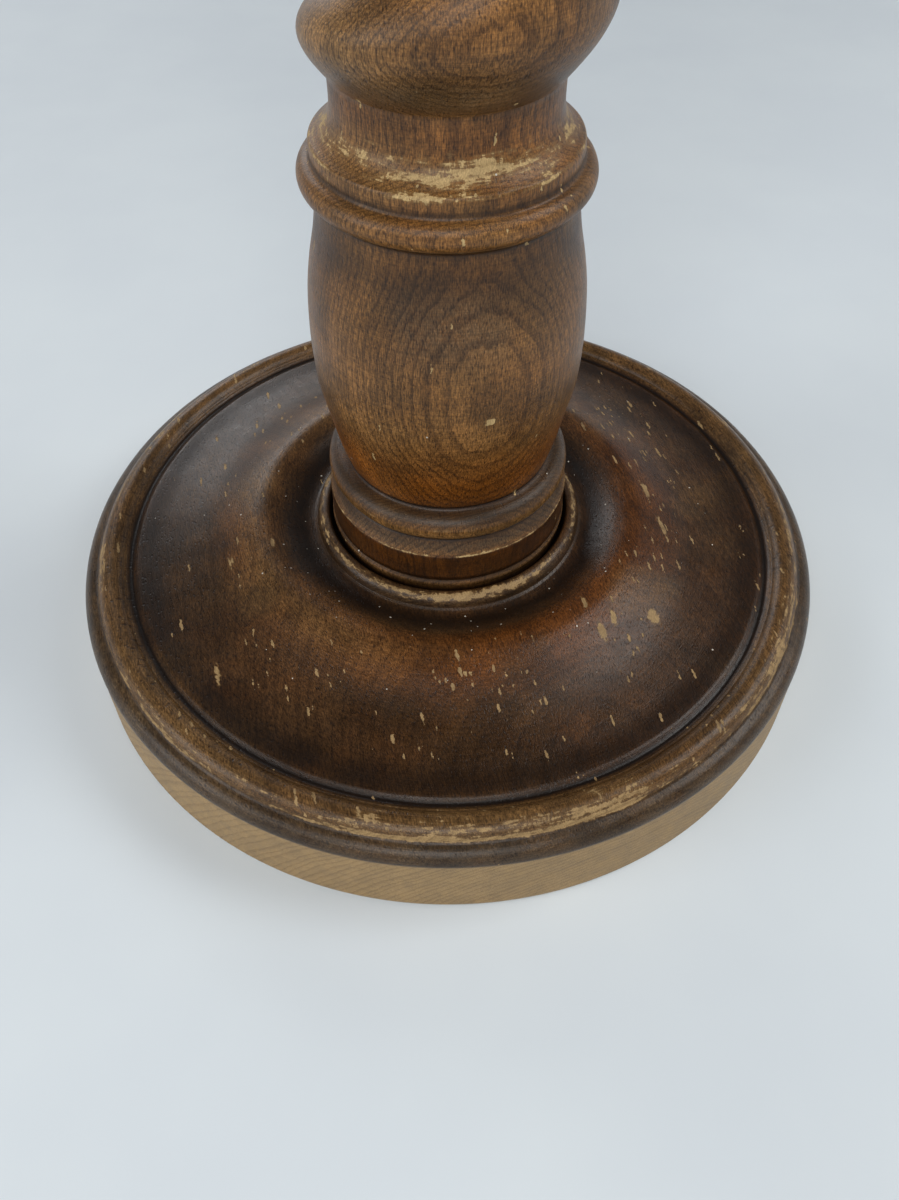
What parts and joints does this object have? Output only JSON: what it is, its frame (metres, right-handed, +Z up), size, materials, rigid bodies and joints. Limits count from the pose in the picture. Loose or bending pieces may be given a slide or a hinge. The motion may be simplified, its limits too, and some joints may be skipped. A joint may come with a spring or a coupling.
{
  "type": "tilt top table",
  "caption": "Round tilting table top hinged on a block over a barley-twist turned column and a moulded round base, with a brass snap catch.",
  "frame": {"origin": "centre of the underside of the round base, on the floor", "axes": "+Z up along the column; the top's hinge runs along X at the front (-Y) side of the block; the catch is at the back (+Y)"},
  "size_m": [0.42, 0.42, 0.6],
  "materials": {
    "stained_beech": "worn satin walnut-brown stain and polish over beech",
    "dark_stained_beech": "darker polished stain with rubbed pale edges and small chips",
    "bare_beech": "unstained matt beech",
    "brass": "dulled old brass",
    "steel": "dark slotted wood screws",
    "spring_steel": "bright drawn wire"
  },
  "bodies": {
    "stand": {"base_disc": "dark_stained_beech", "column": "stained_beech", "column_bottom_wedge": "bare_beech", "column_top_wedge": "bare_beech", "pivot_block": "stained_beech", "pivot_pin_left": "bare_beech", "pivot_pin_right": "bare_beech", "strike_plate": "brass", "strike_screw_1": "brass", "strike_screw_2": "brass"},
    "top": {"top_board_front": "stained_beech", "top_board_middle": "stained_beech", "top_board_back": "stained_beech", "top_dowel_1": "bare_beech", "top_dowel_2": "bare_beech", "top_dowel_3": "bare_beech", "top_dowel_4": "bare_beech", "bearer_left": "stained_beech", "bearer_right": "stained_beech", "bearer_screw_1": "steel", "bearer_screw_2": "steel", "bearer_screw_3": "steel", "bearer_screw_4": "steel", "bearer_screw_5": "steel", "bearer_screw_6": "steel", "catch_case": "brass", "catch_spring": "spring_steel", "catch_screw_1": "brass", "catch_screw_2": "brass", "catch_screw_3": "brass", "catch_screw_4": "brass"},
    "catch": {"catch_bolt": "brass", "catch_knob": "brass"}
  },
  "joints": [
    {"name": "top_tilt", "type": "hinge", "parent": "stand", "child": "top", "pos_m": [0, -0.031, 0.5627], "axis": [1, 0, 0], "range_deg": [0, 90]},
    {"name": "catch_slide", "type": "slide", "parent": "top", "child": "catch", "axis": [0, -1, 0], "range_m": [0, 0.0045], "stiffness_N_per_m": 250, "springref_m": 0.009}
  ]
}
